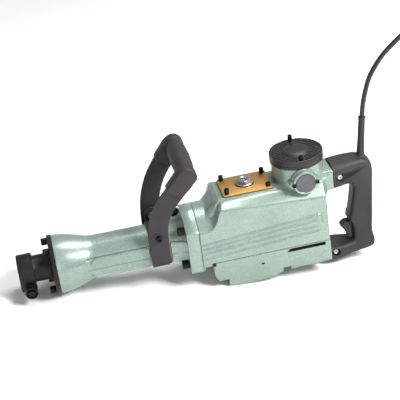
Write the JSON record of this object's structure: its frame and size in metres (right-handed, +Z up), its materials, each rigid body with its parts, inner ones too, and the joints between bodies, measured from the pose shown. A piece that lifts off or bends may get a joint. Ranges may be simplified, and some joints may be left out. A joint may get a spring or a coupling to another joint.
{
  "type": "electric demolition hammer",
  "caption": "Electric demolition hammer with hexagon chisel socket, upright motor, crank and piston drive, swivelling side handle, D-shaped rear handle and a coiled mains cable.",
  "frame": {"origin": "on the floor under the centre of the machine's own box, without its cable", "axes": "+X from the chisel socket towards the rear handle, +Z up, +Y towards the side away from the vent and retainer knob"},
  "size_m": [0.9647, 0.2555, 0.476],
  "materials": {
    "green_casting": "hammertone enamel",
    "black_steel": "black oxide",
    "black_plastic": "fine texture",
    "black_rubber": "matte",
    "yellow_zinc": "yellow passivated zinc",
    "bright_steel": "ground",
    "gasket_board": "matte",
    "copper_windings": "varnished copper and laminations",
    "grey_plastic": "matte"
  },
  "bodies": {
    "machine": {"cylinder_case": "green_casting", "main_housing": "green_casting", "gear_cover": "green_casting", "front_cover": "black_steel", "front_cover_bolt_1": "black_steel", "front_cover_bolt_2": "black_steel", "front_cover_bolt_3": "black_steel", "front_cover_bolt_4": "black_steel", "case_bolt_1": "black_steel", "case_bolt_2": "black_steel", "case_bolt_3": "black_steel", "case_bolt_4": "black_steel", "oil_plate_bolt_1": "black_steel", "oil_plate_bolt_2": "black_steel", "oil_plate_bolt_3": "black_steel", "oil_plate_bolt_4": "black_steel", "gear_cover_screw_1": "black_steel", "gear_cover_screw_2": "black_steel", "gear_cover_screw_3": "black_steel", "gear_cover_screw_4": "black_steel", "motor_cap_screw_1": "black_steel", "motor_cap_screw_2": "black_steel", "cylinder_liner": "bright_steel", "oil_plug": "bright_steel", "crank_bearing": "bright_steel", "handle_bolt_upper": "bright_steel", "handle_bolt_lower": "bright_steel", "oil_gasket": "gasket_board", "oil_plate": "yellow_zinc", "motor_cap": "black_plastic", "rear_handle": "black_plastic", "cord_plug": "black_plastic", "stator": "copper_windings", "brush_near": "grey_plastic", "brush_far": "grey_plastic", "brush_cap_near": "grey_plastic", "brush_cap_far": "grey_plastic", "switch_body": "grey_plastic", "cord_guard": "black_rubber", "cord": "black_rubber", "cord_coil": "black_rubber"},
    "armature": {"armature": "copper_windings", "cooling_fan": "black_plastic"},
    "countershaft": {"countershaft": "bright_steel"},
    "crankshaft": {"crankshaft": "bright_steel", "crank_gear": "bright_steel"},
    "piston": {"piston": "bright_steel", "wrist_pin": "bright_steel"},
    "connecting_rod": {"connecting_rod": "bright_steel"},
    "striker": {"striker": "bright_steel"},
    "second_hammer": {"second_hammer": "bright_steel"},
    "retainer_knob": {"retainer_knob": "black_steel"},
    "retainer_pin": {"retainer_pin": "black_steel"},
    "trigger": {"trigger": "black_plastic"},
    "side_handle": {"side_handle_bow": "black_steel", "side_grip": "black_rubber", "band_upper": "black_steel", "band_lower": "black_steel", "side_bolt_near": "black_steel", "side_bolt_far": "black_steel"}
  },
  "joints": [
    {"name": "crankshaft_spin", "type": "hinge", "parent": "machine", "child": "crankshaft", "pos_m": [0.08733, 0, 0.07467], "axis": [-0.105, 0, 0.9945], "continuous": true},
    {"name": "countershaft_spin", "type": "hinge", "parent": "machine", "child": "countershaft", "pos_m": [0.16114, 0, 0.04224], "axis": [-0.105, 0, 0.9945], "continuous": true},
    {"name": "armature_spin", "type": "hinge", "parent": "machine", "child": "armature", "pos_m": [0.19959, 0, 0.10663], "axis": [-0.105, 0, 0.9945], "continuous": true},
    {"name": "piston_stroke", "type": "slide", "parent": "machine", "child": "piston", "axis": [0.9945, 0, 0.105], "range_m": [0, 0.048]},
    {"name": "connecting_rod_swing", "type": "hinge", "parent": "piston", "child": "connecting_rod", "pos_m": [-0.02814, 0, 0.08259], "axis": [-0.105, 0, 0.9945], "range_deg": [-15.5, 15.5]},
    {"name": "striker_flight", "type": "slide", "parent": "machine", "child": "striker", "axis": [0.9945, 0, 0.105], "range_m": [0, 0.045]},
    {"name": "second_hammer_travel", "type": "slide", "parent": "machine", "child": "second_hammer", "axis": [0.9945, 0, 0.105], "range_m": [0, 0.008]},
    {"name": "retainer_pull", "type": "slide", "parent": "machine", "child": "retainer_knob", "axis": [0, -1, 0], "range_m": [0, 0.006], "stiffness_N_per_m": 1500, "springref_m": -0.006},
    {"name": "retainer_turn", "type": "hinge", "parent": "retainer_knob", "child": "retainer_pin", "pos_m": [-0.32059, 0, 0.02859], "axis": [0, 1, 0], "range_deg": [0, 180]},
    {"name": "trigger_pull", "type": "hinge", "parent": "machine", "child": "trigger", "pos_m": [0.29712, 0, 0.04955], "axis": [0, 1, 0], "range_deg": [0, 10], "stiffness_Nm_per_rad": 0.6, "springref_deg": -14.32},
    {"name": "side_handle_swivel", "type": "hinge", "parent": "machine", "child": "side_handle", "pos_m": [-0.07886, 0, 0.07724], "axis": [0.9945, 0, 0.105], "range_deg": [-90, 90]}
  ],
  "couplings": [
    {"joint": "countershaft_spin", "follows": "crankshaft_spin", "ratio": -2.5},
    {"joint": "armature_spin", "follows": "crankshaft_spin", "ratio": 11.562}
  ]
}
